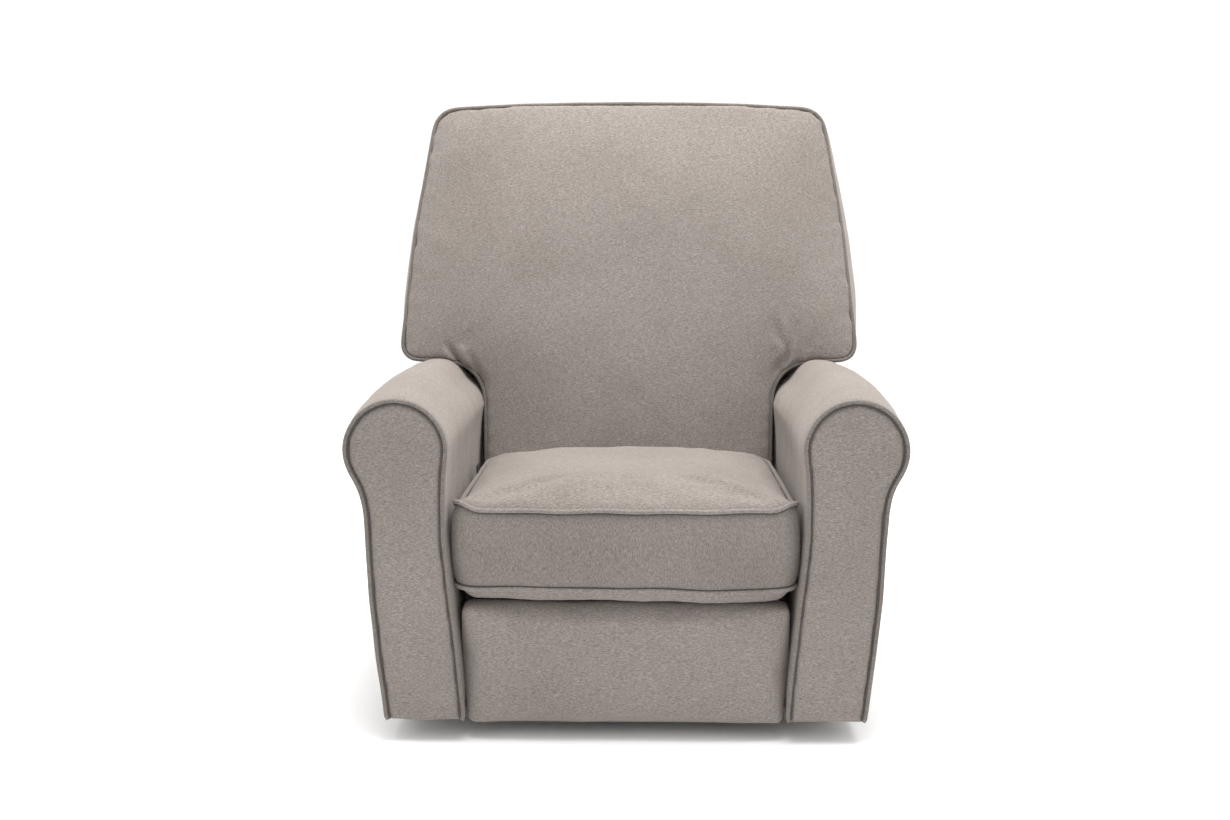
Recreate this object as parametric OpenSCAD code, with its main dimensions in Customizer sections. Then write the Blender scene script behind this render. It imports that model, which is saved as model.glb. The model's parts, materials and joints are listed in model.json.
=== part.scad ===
// Upholstered swivel and glide recliner chair.
// Z is up, the sitter faces -Y, and the swivel axis stands on the origin.
// The seat unit hangs on four swing links above a steel ring base.

/* [Base] */
// Radius of the base ring, to the middle of its tube
ring_r = 270; // [240:5:275]
// Radius of the base ring's tube
ring_tube_r = 11; // [10:0.5:12]
// Number of rubber pads under the ring
pad_count = 6; // [4:1:8]
// Number of balls in the swivel bearing
ball_count = 24; // [16:2:30]

/* [Glide] */
// Length of a swing link between its pivots
swing_length = 125; // [110:5:130]
// Half of the distance between front and rear swing links
swing_half_y = 140; // [125:5:145]
// Height of the upper swing pivots
swing_top_z = 205; // [200:1:206]

/* [Seat] */
// Half width of the seat cushion
seat_half_w = 270; // [255:1:270]
// Y of the cushion's front
seat_front_y = -458; // [-462:1:-450]
// Y of the cushion's rear
seat_rear_y = 18; // [0:1:20]
// Height of the cushion's underside
seat_bottom_z = 244; // [244:1:250]
// Height of the cushion's boxed side
seat_side_h = 140; // [110:2:140]
// How far the cushion's top is crowned above its side
seat_crown = 30; // [10:2:36]

/* [Arms] */
// X of the middle of the arm's roll
roll_x = 363; // [360:1:366]
// Height of the middle of the arm's roll
roll_z = 480; // [470:1:481]
// Radius of the arm's roll
roll_r = 80; // [72:1:80]
// Y of the arm's front
arm_front_y = -447; // [-452:1:-440]
// Y of the arm's rear
arm_rear_y = 290; // [280:1:292]
// Height of the arm's lower edge
arm_bottom_z = 36; // [34:1:58]
// Thickness of the flat facing on the arm's front
facing_t = 8; // [5:0.5:9]

/* [Back] */
// Angle of the back from upright, at rest
back_lean = 15; // [15:0.5:16]
// Y of the lower front edge of the back
back_y = 25; // [25:1:27]
// Height of the lower front edge of the back
back_z = 270; // [269:1:272]
// Length of the back along its front face
back_height = 813; // [760:1:815]
// Half width of the back between the arms
back_half_w = 270; // [255:1:272]
// Half width of the back just above the arms
wing_half_w = 438; // [410:1:440]
// Half width of the back at its top
top_half_w = 383; // [360:1:388]
// Thickness of the back cushion
back_cushion_t = 130; // [100:2:132]
// Thickness of the padded outer back
back_shell_t = 73; // [60:1:76]
// Height of the underside of the back's wings, over the arms
wing_z = 566; // [564:1:580]

/* [Footrest] */
// Half width of the footrest
foot_half_w = 258; // [245:1:258]
// Height of the footrest's lower edge
foot_bottom_z = 26; // [26:1:40]
// Height of the footrest's upper edge
foot_top_z = 225; // [225:1:232]
// Thickness of the footrest's pad
foot_pad_t = 43; // [30:1:44]
// Width of a footrest link
link_w = 18; // [16:1:18]

/* [Hidden] */
$fn = 64;
eps = 0.01;
run_gap = 0.05;

steel = [0.30, 0.31, 0.33];
zinc = [0.66, 0.67, 0.69];
wood = [0.74, 0.60, 0.42];
nylon = [0.86, 0.85, 0.80];
rubber = [0.12, 0.12, 0.12];
cloth = [0.60, 0.56, 0.52];
dark_cloth = [0.20, 0.19, 0.19];

// heights in the base, from the floor up
ring_z = 6 + ring_tube_r;
cross_z = 14;
cross_t = 6;
hub_r = 112;
hub_t = 6;
hub_z = cross_z + cross_t;
race_z = hub_z + hub_t;
race_t = 6;
race_gap = 4;
upper_race_z = race_z + race_t + race_gap;
race_inner_r = 55;
groove_pitch_r = 100;
groove_r = 4.15;
ball_r = 4;
pin_r = 8;
pin_head_r = 13;
base_bolt_r = 68;
base_bolt_start = 45;
frame_bolt_r = 82;
screw_r = 3.3;
nut_r = 5.5;
nut_h = 4.5;
screw_head_h = 3;
cross_w = 44;
pad_r = 15;
pad_h = 11;
frame_z = upper_race_z + race_t;
frame_t = 6;
upright_top = swing_top_z + 17;
upright_w = 40;
frame_bar_w = 50;

// planes of the glide, as distances from the middle of the chair
upright_x = 192;
swing_x = 198;
glide_plate_x = 206;
plate_t = 4;
swing_r = 5;
bush_r = 8;
swing_bottom_z = swing_top_z - swing_length;

// planes of the footrest linkage, from the mechanism plate inwards
mech_x = 236;
drive_x = 231;
lift_x = 226;
front_x = 221;
stay_x = 216;
bracket_x = 211;
link_t = 3;
rivet_r = 5;
open_pin_r = 3.5;
open_slack = 3;
head_t = 1.1;

// footrest pivots when closed, as [Y, Z]
drive_root = [-314.9, 181.5];
front_root = [-351.3, 221.9];
drive_end = [-238.2, 82.6];
front_end = [-246.3, 79.4];
lift_end = [-379.8, 230.8];
stay_end = [-348.5, 180.2];
open_on_lift = drive_end + 48.4 / norm(lift_end - drive_end) * (lift_end - drive_end);
open_on_front = front_root + 131.7 / norm(front_end - front_root) * (front_end - front_root);

// the board behind the footrest's pad
foot_board_y = -405;
foot_board_t = 12;
foot_board_half = 240;
foot_screw_r = 2.5;
foot_screw_zs = [130, 200];

// wood and springs of the seat
rail_x = 240;
rail_t = 22;
rail_z = 170;
rail_h = 62;
front_rail_y = -385;
side_rail_y1 = 225;
rear_rail_y = 253;
tube_y = 232;
tube_z = 200;
tube_r = 10;
spring_z = 235;
wire_r = 1.8;
recline_y = 260;
recline_z = 260;
bolt_ys = [-60, 120];
bolt_r = 4.1;
fit_gap = 0.1;
deck_half_w = 255;
deck_y1 = 205;
deck_z = 240.5;
deck_t = 3;

// an arm: its board, its facing, and the points of its outline below the roll
board_x = 330;
board_t = 18;
board_z = 60;
board_h = 420;
board_inset = 12;
board_gap = 0.3;
facing_gap = 0.2;
facing_inset = 3;
arm_inner_x = 262;
arm_outer_x = 388;
neck_inner_x = 290;
neck_inner_z = 395;
neck_outer_x = 418;
neck_outer_z = 415;
side_x = 411;
side_z = 370;

// the padded panel across the rear, between the arms
apron_half_w = 256;
apron_y = rear_rail_y + rail_t;
apron_t = 17;
apron_z = 50;
apron_h = 240;

// layers of the back, behind its front face
back_frame_u = back_cushion_t + 5;
back_frame_t = 22;
shell_u = back_frame_u + back_frame_t + 5;
shell_v = 105;
corner_r = 45;
notch_v = 300;
stile_x = 190;
stile_w = 40;
stile_v = 20;
stile_h = 730;
rail_vs = [24, 350, 690];
back_low_z = 262;
clear = 900;
wing_frame_top = 735;
bracket_top_v = 150;

function arc(c, r, from, to, n) = [for (i = [0:n]) let (a = from + (to - from) * i / n)
    c + r * [cos(a), sin(a)]];

// draws the children on the right of the chair and mirrored on the left
module both_sides() {
    children();
    mirror([1, 0, 0]) children();
}

// a solid extruded along X from x, its outline given as [Y, Z]
module across(x, t) {
    translate([x, 0, 0]) rotate([90, 0, 90]) linear_extrude(t) children();
}

// a round bar along X at p = [Y, Z]
module bar_x(p, x, length, r) {
    translate([x, p[0], p[1]]) rotate([0, 90, 0]) cylinder(r = r, h = length);
}

// a flat link with round ends between p and q
module link_outline(p, q, w) {
    a = atan2(q[1] - p[1], q[0] - p[0]);
    polygon(concat(arc(q, w / 2, a - 90, a + 90, 16), arc(p, w / 2, a + 90, a + 270, 16)));
}

// ---------- base ----------

module ring_base() {
    color(steel) rotate_extrude($fn = 96) translate([ring_r, ring_z]) circle(r = ring_tube_r);
}

module base_cross() {
    arm_end = ring_r - ring_tube_r - 2;
    color(steel) difference() {
        union() {
            for (a = [0, 90]) rotate(a)
                translate([-arm_end, -cross_w / 2, cross_z]) cube([2 * arm_end, cross_w, cross_t]);
            for (a = [0:90:270]) rotate(a) intersection() {
                translate([arm_end - 6, -cross_w / 2, cross_z]) cube([20, cross_w, cross_t]);
                difference() {
                    cylinder(r = ring_r, h = 60);
                    rotate_extrude($fn = 96) translate([ring_r, ring_z]) circle(r = ring_tube_r + eps);
                }
            }
            translate([0, 0, hub_z - eps]) cylinder(r = hub_r, h = hub_t + eps);
        }
        translate([0, 0, cross_z - 1]) cylinder(r = pin_r + run_gap, h = 40);
        at_bolts(base_bolt_r, base_bolt_start)
            translate([0, 0, cross_z - 1]) cylinder(r = screw_r, h = 40);
    }
}

module at_bolts(r, start) {
    for (i = [0:3]) rotate(start + 90 * i) translate([r, 0, 0]) children();
}

module floor_pads() {
    color(rubber) difference() {
        for (i = [0:pad_count - 1]) rotate(360 / pad_count * (i + 0.5))
            translate([ring_r, 0, 0]) cylinder(r = pad_r, h = pad_h);
        rotate_extrude($fn = 96) translate([ring_r, ring_z]) circle(r = ring_tube_r + 0.2);
    }
}

module kingpin() {
    color(zinc) {
        translate([0, 0, cross_z - 6]) cylinder(r = pin_head_r, h = 6, $fn = 6);
        translate([0, 0, cross_z - 6]) cylinder(r = pin_r, h = frame_z + frame_t + 8 - cross_z + 6);
        translate([0, 0, frame_z + frame_t + 0.4]) cylinder(r = pin_head_r, h = 7, $fn = 6);
    }
}

module race(z, groove_z, bolt_r, bolt_start) {
    difference() {
        translate([0, 0, z]) cylinder(r = hub_r, h = race_t);
        translate([0, 0, z - 1]) cylinder(r = race_inner_r, h = race_t + 2);
        rotate_extrude($fn = 96) translate([groove_pitch_r, groove_z]) circle(r = groove_r);
        at_bolts(bolt_r, bolt_start) translate([0, 0, z - 1]) cylinder(r = screw_r, h = race_t + 2);
    }
}

ball_z = race_z + race_t + race_gap / 2;

module bearing_lower_race() { color(zinc) race(race_z, ball_z, base_bolt_r, base_bolt_start); }

module bearing_upper_race() { color(zinc) race(upper_race_z, ball_z, frame_bolt_r, 0); }

module bearing_balls() {
    color(zinc) for (i = [0:ball_count - 1]) rotate(360 / ball_count * i)
        translate([groove_pitch_r, 0, ball_z]) sphere(r = ball_r, $fn = 24);
}

module base_bolts() {
    color(zinc) at_bolts(base_bolt_r, base_bolt_start) {
        translate([0, 0, hub_z]) cylinder(r = screw_r, h = hub_t + race_t);
        translate([0, 0, race_z + race_t]) cylinder(r = nut_r, h = screw_head_h, $fn = 6);
        translate([0, 0, hub_z - nut_h]) cylinder(r = nut_r, h = nut_h, $fn = 6);
    }
}

// ---------- swivel ----------

module swivel_frame() {
    reach = upright_x + plate_t;
    color(steel) difference() {
        union() {
            for (s = [-1, 1]) translate([-reach, s * swing_half_y - upright_w / 2, frame_z])
                cube([2 * reach, upright_w, frame_t]);
            translate([-frame_bar_w / 2, -swing_half_y, frame_z])
                cube([frame_bar_w, 2 * swing_half_y, frame_t]);
            translate([-hub_r, -frame_bar_w / 2, frame_z]) cube([2 * hub_r, frame_bar_w, frame_t]);
        }
        translate([0, 0, frame_z - 1]) cylinder(r = pin_r + run_gap, h = 10);
        at_bolts(frame_bolt_r, 0) translate([0, 0, frame_z - 1]) cylinder(r = screw_r, h = 10);
    }
}

module swivel_uprights() {
    color(steel) both_sides() for (s = [-1, 1]) difference() {
        translate([upright_x, s * swing_half_y - upright_w / 2, frame_z + frame_t])
            cube([plate_t, upright_w, upright_top - frame_z - frame_t]);
        bar_x([s * swing_half_y, swing_top_z], upright_x - 1, plate_t + 2, swing_r);
    }
}

module swivel_bolts() {
    color(zinc) at_bolts(frame_bolt_r, 0) {
        translate([0, 0, upper_race_z]) cylinder(r = screw_r, h = race_t + frame_t);
        translate([0, 0, upper_race_z - screw_head_h])
            cylinder(r = nut_r - 0.5, h = screw_head_h, $fn = 6);
        translate([0, 0, frame_z + frame_t]) cylinder(r = nut_r, h = nut_h, $fn = 6);
    }
}

// ---------- glide ----------

module glide_upper_pins() {
    color(zinc) both_sides() for (s = [-1, 1]) {
        bar_x([s * swing_half_y, swing_top_z], upright_x - 4, 4, bush_r);
        bar_x([s * swing_half_y, swing_top_z], upright_x - 4, 15.2, swing_r);
        bar_x([s * swing_half_y, swing_top_z], swing_x + plate_t + 0.6, 2, bush_r);
    }
}

module swing_links(side) {
    y = side * swing_half_y;
    both_sides() difference() {
        across(swing_x, plate_t) link_outline([y, swing_bottom_z], [y, swing_top_z], 26);
        for (z = [swing_bottom_z, swing_top_z])
            bar_x([y, z], swing_x - 1, plate_t + 2, bush_r);
    }
}

module swing_bushes(side) {
    y = side * swing_half_y;
    both_sides() for (z = [swing_bottom_z, swing_top_z]) difference() {
        bar_x([y, z], swing_x - 0.4, plate_t + 0.8, bush_r);
        bar_x([y, z], swing_x - 1, plate_t + 2, swing_r + run_gap);
    }
}

module front_swing_links() { color(steel) swing_links(-1); }
module rear_swing_links() { color(steel) swing_links(1); }
module front_swing_bushes() { color(nylon) swing_bushes(-1); }
module rear_swing_bushes() { color(nylon) swing_bushes(1); }

module glide_lower_pins() {
    color(zinc) both_sides() for (s = [-1, 1]) {
        bar_x([s * swing_half_y, swing_bottom_z], swing_x - 1.8, 1.2, bush_r - 0.5);
        bar_x([s * swing_half_y, swing_bottom_z], swing_x - 1.8, 13.8, swing_r);
        bar_x([s * swing_half_y, swing_bottom_z], glide_plate_x + plate_t, 4, bush_r);
    }
}

module glide_plate_outline() {
    low = swing_bottom_z - 16;
    waist = rail_z + 4;
    top = rail_z + rail_h - 4;
    rear = rear_rail_y + rail_t;
    lug = [[-90, waist], [-22, low + 30], [-16, low], [16, low], [22, low + 30], [70, waist]];
    front_lug = [for (p = lug) p + [-swing_half_y, 0]];
    rear_lug = [for (i = [5:-1:0]) [swing_half_y - lug[i][0], lug[i][1]]];
    polygon(concat([[front_rail_y, top], [front_rail_y, waist + 6]], front_lug, rear_lug,
        [[rear, waist + 6], [rear, top]]));
}

module glide_plates() {
    color(steel) both_sides() difference() {
        across(glide_plate_x, plate_t) glide_plate_outline();
        for (s = [-1, 1]) {
            bar_x([s * swing_half_y, swing_bottom_z], glide_plate_x - 1, plate_t + 2, swing_r);
            bar_x([s * tube_y, tube_z], glide_plate_x - 1, plate_t + 2, tube_r);
        }
    }
}

// ---------- seat unit ----------

module mechanism_plate_outline() {
    top = rail_z + rail_h;
    low = rail_z + 8;
    lug_r = 12;
    polygon([[front_rail_y + 8, top], [front_rail_y + 8, 200], [-330, 160], [-300, 160],
             [-260, low], [recline_y - 45, low], [recline_y + lug_r, low + 30],
             [recline_y + lug_r, recline_z], [recline_y - 45, top]]);
    translate([recline_y, recline_z]) circle(r = lug_r);
}

module mechanism_plates() {
    color(steel) both_sides() difference() {
        across(mech_x, plate_t) mechanism_plate_outline();
        bar_x(drive_root, mech_x - 1, plate_t + 2, rivet_r);
        bar_x(front_root, mech_x - 1, plate_t + 2, rivet_r - 1);
        bar_x([recline_y, recline_z], mech_x - 1, plate_t + 2, rivet_r);
        for (y = bolt_ys) bar_x([y, tube_z], mech_x - 1, plate_t + 2, bolt_r + fit_gap);
    }
}

module cross_tubes() {
    color(steel) for (s = [-1, 1]) difference() {
        bar_x([s * tube_y, tube_z], -mech_x, 2 * mech_x, tube_r);
        bar_x([s * tube_y, tube_z], -mech_x - 1, 2 * mech_x + 2, tube_r - 2);
    }
}

module side_rails() {
    color(wood) both_sides() difference() {
        translate([rail_x, front_rail_y, rail_z]) cube([rail_t, side_rail_y1 - front_rail_y, rail_h]);
        for (y = bolt_ys) bar_x([y, tube_z], rail_x - 1, rail_t + 2, bolt_r + fit_gap);
        bar_x(drive_root, rail_x - 1, 6, 8);
        bar_x(front_root, rail_x - 1, 6, 7);
    }
}

module cross_rail(y) {
    color(wood) translate([-glide_plate_x, y, rail_z])
        cube([2 * glide_plate_x, rail_t, rail_h]);
}

module front_rail() { cross_rail(front_rail_y); }
module rear_rail() { cross_rail(rear_rail_y); }

spring_pitch = 26;
spring_swing = 27;
turn_steps = 6;

function spring_loops(y0, y1) = floor((y1 - y0 - 30) / spring_pitch);

// side of the spring on which it ends, 1 for the right
function spring_end(y0, y1) = spring_loops(y0, y1) % 2 == 0 ? 1 : -1;

// the line of a spring's wire from y0 to y1: a tail, then bars joined by half turns, then a tail
function spring_line(y0, y1) = let (
    loops = spring_loops(y0, y1),
    half = spring_swing / 2,
    turn_r = spring_pitch / 2,
    start = (y0 + y1 - loops * spring_pitch) / 2
) concat(
    [[-half, y0], [-half, start]],
    [for (i = [0:loops - 1]) let (side = i % 2 == 0 ? 1 : -1)
        for (k = [0:turn_steps]) let (a = -90 + 180 * k / turn_steps)
            [side * (half + turn_r * cos(a)), start + (i + 0.5) * spring_pitch + turn_r * sin(a)]],
    [[spring_end(y0, y1) * half, start + loops * spring_pitch], [spring_end(y0, y1) * half, y1]]);

// the direction across the line at its point i, stretched at a corner so that the width stays even
function across_line(line, i) = let (
    n = len(line) - 1,
    into = line[max(i, 1)] - line[max(i, 1) - 1],
    out = line[min(i, n - 1) + 1] - line[min(i, n - 1)],
    sum = into / norm(into) + out / norm(out),
    along = sum / norm(sum)
) [-along[1], along[0]] / max(0.6, along * into / norm(into));

// one flat-cut sinuous spring in plan, from y0 to y1
module sinuous(y0, y1, z) {
    line = spring_line(y0, y1);
    n = len(line) - 1;
    translate([0, 0, z - wire_r]) linear_extrude(2 * wire_r)
        polygon(concat([for (i = [0:n]) line[i] + wire_r * across_line(line, i)],
            [for (i = [n:-1:0]) line[i] - wire_r * across_line(line, i)]));
}

spring_xs = [for (i = [-2:2]) i * 80];
spring_y0 = front_rail_y + 12;
spring_y1 = rear_rail_y + 10;
clip_w = 14;
clip_l = 8.5;
clip_h = 7;

module seat_springs() {
    color(steel) for (x = spring_xs) translate([x, 0, 0])
        sinuous(spring_y0, spring_y1, spring_z);
}

module spring_clips() {
    half = spring_swing / 2;
    end_x = spring_end(spring_y0, spring_y1) * half;
    color(nylon) for (x = spring_xs) {
        translate([x - half - clip_w / 2, spring_y0 - 1, rail_z + rail_h]) spring_clip();
        translate([x + end_x - clip_w / 2, rear_rail_y + 3, rail_z + rail_h]) spring_clip();
    }
}

// a plastic clip that holds the end of a spring down on its rail
module spring_clip() {
    difference() {
        cube([clip_w, clip_l, clip_h]);
        translate([clip_w / 2 - wire_r - 0.2, -1, -1]) cube([2 * wire_r + 0.4, clip_l + 2, clip_h - 1]);
    }
}

module deck_cloth() {
    color(dark_cloth) translate([-deck_half_w, front_rail_y, deck_z])
        cube([2 * deck_half_w, deck_y1 - front_rail_y, deck_t]);
}

module seat_cushion() {
    corner = 30;
    half = seat_half_w;
    length = seat_rear_y - seat_front_y;
    crown_r = (half * half + seat_crown * seat_crown) / (2 * seat_crown);
    color(cloth) intersection() {
        translate([0, seat_front_y, seat_bottom_z]) linear_extrude(seat_side_h + seat_crown)
            polygon(concat([[half, length], [-half, length]],
                arc([-half + corner, corner], corner, 180, 270, 8),
                arc([half - corner, corner], corner, 270, 360, 8)));
        translate([0, seat_front_y - 1, seat_bottom_z + seat_side_h + seat_crown - crown_r])
            rotate([-90, 0, 0]) cylinder(r = crown_r, h = length + 2, $fn = 200);
    }
}

// outline of an arm seen from the front, as [X, Z]
module arm_outline(inset) {
    low = arm_bottom_z + inset;
    polygon(concat(arc([roll_x, roll_z], roll_r - inset, -36, 184, 44), [
        [neck_inner_x + inset, neck_inner_z], [arm_inner_x + inset, low], [arm_outer_x - inset, low],
        [side_x - inset, side_z], [neck_outer_x - inset, neck_outer_z]]));
}

module arm_solid() {
    difference() {
        translate([0, arm_rear_y, 0]) rotate([90, 0, 0])
            linear_extrude(arm_rear_y - arm_front_y) arm_outline(0);
        board_block(board_gap);
        for (y = bolt_ys)
            bar_x([y, tube_z], arm_inner_x - 12, board_x - arm_inner_x + 22, bolt_r + 0.5);
    }
}

// the block of the board inside an arm, larger by grow on each side
module board_block(grow) {
    translate([board_x - grow, arm_front_y + board_inset - grow, board_z - grow])
        cube([board_t + 2 * grow, arm_rear_y - arm_front_y - 2 * board_inset + 2 * grow,
              board_h + 2 * grow]);
}

module arm_facing() {
    translate([0, arm_front_y - facing_gap, 0]) rotate([90, 0, 0]) linear_extrude(facing_t)
        arm_outline(facing_inset);
}

module arm_board() {
    difference() {
        board_block(0);
        for (y = bolt_ys) bar_x([y, tube_z], board_x - 1, board_t + 2, bolt_r + fit_gap);
    }
}

module left_arm() { color(cloth) arm_solid(); }
module right_arm() { color(cloth) mirror([1, 0, 0]) arm_solid(); }
module left_arm_facing() { color(cloth) arm_facing(); }
module right_arm_facing() { color(cloth) mirror([1, 0, 0]) arm_facing(); }
module left_arm_board() { color(wood) arm_board(); }
module right_arm_board() { color(wood) mirror([1, 0, 0]) arm_board(); }

module arm_bolts() {
    color(zinc) both_sides() for (y = bolt_ys) {
        bar_x([y, tube_z], mech_x - 5, 5, 7);
        bar_x([y, tube_z], mech_x - 5, board_x + board_t - mech_x + 5, bolt_r);
    }
}

module rear_apron() {
    color(cloth) translate([-apron_half_w, apron_y, apron_z])
        cube([2 * apron_half_w, apron_t, apron_h]);
}

// ---------- release ----------

release_y = -90;
pull_w = 34;
pull_t = 2.6;
pull_x = 275;
foot_x = 271;
foot_t = 6;
foot_z = 196;
step_z = 218;
step_t = 4;
pull_top = 390;
finger_w = 22;
guide_gap = 0.4;
guide_wall = 4;
guide_z = 186;
guide_h = 28;

// a block centred on the release tab's Y, from x towards the middle and up from z
module release_block(x, z, size) {
    translate([-x, release_y - size[1] / 2, z]) cube(size);
}

module release_guide() {
    slot = [foot_t + 2 * guide_gap, pull_w + 2, guide_h + 12];
    outer_x = foot_x + 2;
    color(rubber) difference() {
        release_block(outer_x, guide_z, [outer_x - rail_x - rail_t, slot[1] + 2 * guide_wall, guide_h]);
        release_block(foot_x + guide_gap, guide_z - 6, slot);
    }
}

// a tab that slides in its guide, steps out round the arm's face and ends in a finger hole
module release_pull() {
    color(rubber) {
        release_block(foot_x, foot_z, [foot_t, pull_w, step_z + step_t - foot_z]);
        release_block(pull_x, step_z, [pull_x - foot_x + step_t, pull_w, step_t]);
        difference() {
            release_block(pull_x, step_z, [pull_t, pull_w, pull_top - step_z]);
            release_block(pull_x + 5, pull_top - finger_w - 12, [10, finger_w, finger_w]);
        }
    }
}

// ---------- recline and back ----------

// places the children in the leaning frame of the back: Y is depth, Z runs up along the face
module on_back() {
    translate([0, back_y, back_z]) rotate([-back_lean, 0, 0]) children();
}

module back_outline() {
    top_drop = 10;
    bow = 6;
    lift = 2;
    edge = atan2(wing_half_w - top_half_w, back_height - notch_v - 20);
    top_v = back_height - top_drop;
    cx = top_half_w - corner_r - lift;
    mid_x = cx / 2 - lift;
    polygon(concat([[-back_half_w, 0], [back_half_w, 0], [back_half_w, notch_v],
                    [wing_half_w, notch_v]],
        arc([cx, top_v - corner_r], corner_r, edge, 90 - lift, 8),
        [[mid_x, top_v + bow], [0, back_height], [-mid_x, top_v + bow]],
        arc([-cx, top_v - corner_r], corner_r, 90 + lift, 180 - edge, 8),
        [[-wing_half_w, notch_v], [-back_half_w, notch_v]]));
}

// a layer of the back, from depth u, cut level above the arms and above the deck
module back_layer(u, t, v_low) {
    difference() {
        on_back() translate([0, u + t, 0]) rotate([90, 0, 0]) linear_extrude(t) difference() {
            back_outline();
            translate([-clear, -10]) square([2 * clear, v_low + 10]);
        }
        both_sides() translate([back_half_w, -clear, 0]) cube([clear, 2 * clear, wing_z]);
        translate([-clear, -clear, 0]) cube([2 * clear, 2 * clear, back_low_z]);
    }
}

module back_cushion() { color(cloth) back_layer(0, back_cushion_t, 0); }

module outer_back() { color(cloth) back_layer(shell_u, back_shell_t, shell_v); }

module back_slab(x, v, w, h) {
    on_back() translate([x, back_frame_u, v]) cube([w, back_frame_t, h]);
}

module back_stiles() {
    color(wood) both_sides() back_slab(stile_x, stile_v, stile_w, stile_h);
}

module back_rails() {
    color(wood) for (v = rail_vs) back_slab(-stile_x, v, 2 * stile_x, v == rail_vs[2] ? 60 : 46);
}

module back_wing_frames() {
    color(wood) both_sides() difference() {
        on_back() translate([0, back_frame_u + back_frame_t, 0]) rotate([90, 0, 0])
            linear_extrude(back_frame_t) polygon([[stile_x + stile_w, rail_vs[1]],
                [wing_half_w - 38, rail_vs[1]], [top_half_w - 33, wing_frame_top],
                [stile_x + stile_w, wing_frame_top]]);
        translate([stile_x, -clear, 0]) cube([clear, 2 * clear, wing_z + 5]);
    }
}

module back_springs() {
    color(steel) for (x = [-120, -40, 40, 120])
        on_back() translate([x, 0, 0]) rotate([90, 0, 0]) translate([0, 0, -back_frame_u + 2.2])
            sinuous(rail_vs[0] + 10, wing_frame_top - 10, 0);
}

module recline_brackets() {
    dy = recline_y - back_y;
    dz = recline_z - back_z;
    pivot = [dy * cos(back_lean) - dz * sin(back_lean), dy * sin(back_lean) + dz * cos(back_lean)];
    front = back_frame_u + 1;
    rear = back_frame_u + back_frame_t - 1;
    boss_r = 14;
    color(steel) both_sides() difference() {
        on_back() across(stile_x + stile_w, plate_t) {
            translate(pivot) circle(r = boss_r);
            polygon([[front, 30], [pivot[0], pivot[1] - boss_r], [pivot[0] + 8, pivot[1] + 11.5],
                     [rear, bracket_top_v - 52], [rear, bracket_top_v], [front, bracket_top_v]]);
        }
        bar_x([recline_y, recline_z], stile_x, 60, rivet_r + run_gap);
    }
}

module recline_pins() {
    color(zinc) both_sides() {
        bar_x([recline_y, recline_z], stile_x + stile_w - 2, 12, rivet_r);
        bar_x([recline_y, recline_z], stile_x + stile_w - 3.4, 3, 8);
    }
}

module back_bolts() {
    color(zinc) both_sides() for (v = [45, 95])
        on_back() translate([stile_x + stile_w + plate_t, back_frame_u + back_frame_t / 2, v])
            rotate([0, 90, 0]) cylinder(r = 6, h = 3.5, $fn = 6);
}

// ---------- footrest ----------

module footrest_pivot_pins() {
    color(zinc) both_sides() {
        bar_x(drive_root, drive_x - head_t, head_t, 7);
        bar_x(drive_root, drive_x - head_t, mech_x + plate_t + 3 - drive_x + head_t, rivet_r);
        bar_x(front_root, front_x - head_t, head_t, 6);
        bar_x(front_root, front_x - head_t, mech_x + plate_t + 3 - front_x + head_t, rivet_r - 1);
    }
}

module footrest_drive_links() {
    color(steel) both_sides() difference() {
        across(drive_x, link_t) link_outline(drive_root, drive_end, link_w + 2);
        bar_x(drive_root, drive_x - 1, link_t + 2, rivet_r + run_gap);
        bar_x(drive_end, drive_x - 1, link_t + 2, rivet_r);
    }
}

module footrest_lift_links() {
    color(steel) both_sides() difference() {
        across(lift_x, link_t) {
            link_outline(drive_end, lift_end, link_w - 1);
            translate(open_on_lift) circle(r = open_pin_r + open_slack + 4);
        }
        bar_x(drive_end, lift_x - 1, link_t + 2, rivet_r + run_gap);
        bar_x(lift_end, lift_x - 1, link_t + 2, rivet_r + run_gap);
        bar_x(open_on_lift, lift_x - 1, link_t + 2, open_pin_r + open_slack);
    }
}

module footrest_front_links() {
    color(steel) both_sides() difference() {
        across(front_x, link_t) link_outline(front_root, front_end, link_w);
        bar_x(front_root, front_x - 1, link_t + 2, rivet_r - 1 + run_gap);
        bar_x(front_end, front_x - 1, link_t + 2, rivet_r);
        bar_x(open_on_front, front_x - 1, link_t + 2, open_pin_r);
    }
}

module footrest_stay_links() {
    color(steel) both_sides() difference() {
        across(stay_x, link_t) {
            link_outline(front_end, stay_end, link_w - 1);
            translate(stay_end) circle(r = open_pin_r + open_slack + 4);
        }
        bar_x(front_end, stay_x - 1, link_t + 2, rivet_r + run_gap);
        bar_x(stay_end, stay_x - 1, link_t + 2, open_pin_r + open_slack);
    }
}

// rivets fixed in the drive links, which carry the lift links
module footrest_drive_rivets() {
    color(zinc) both_sides() {
        bar_x(drive_end, lift_x - head_t, head_t, 7);
        bar_x(drive_end, lift_x - head_t, drive_x + link_t - lift_x + head_t, rivet_r);
        bar_x(drive_end, drive_x + link_t, head_t - 0.4, 7);
    }
}

// rivets fixed in the front links, which carry the stay links
module footrest_stay_rivets() {
    color(zinc) both_sides() {
        bar_x(front_end, stay_x - head_t, head_t, 7);
        bar_x(front_end, stay_x - head_t, front_x + link_t - stay_x + head_t, rivet_r);
    }
}

// pins fixed in the front links, which cross the lift links with room to spare
module footrest_cross_pins() {
    color(zinc) both_sides()
        bar_x(open_on_front, front_x, lift_x + link_t - front_x + 0.4, open_pin_r);
}

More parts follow.
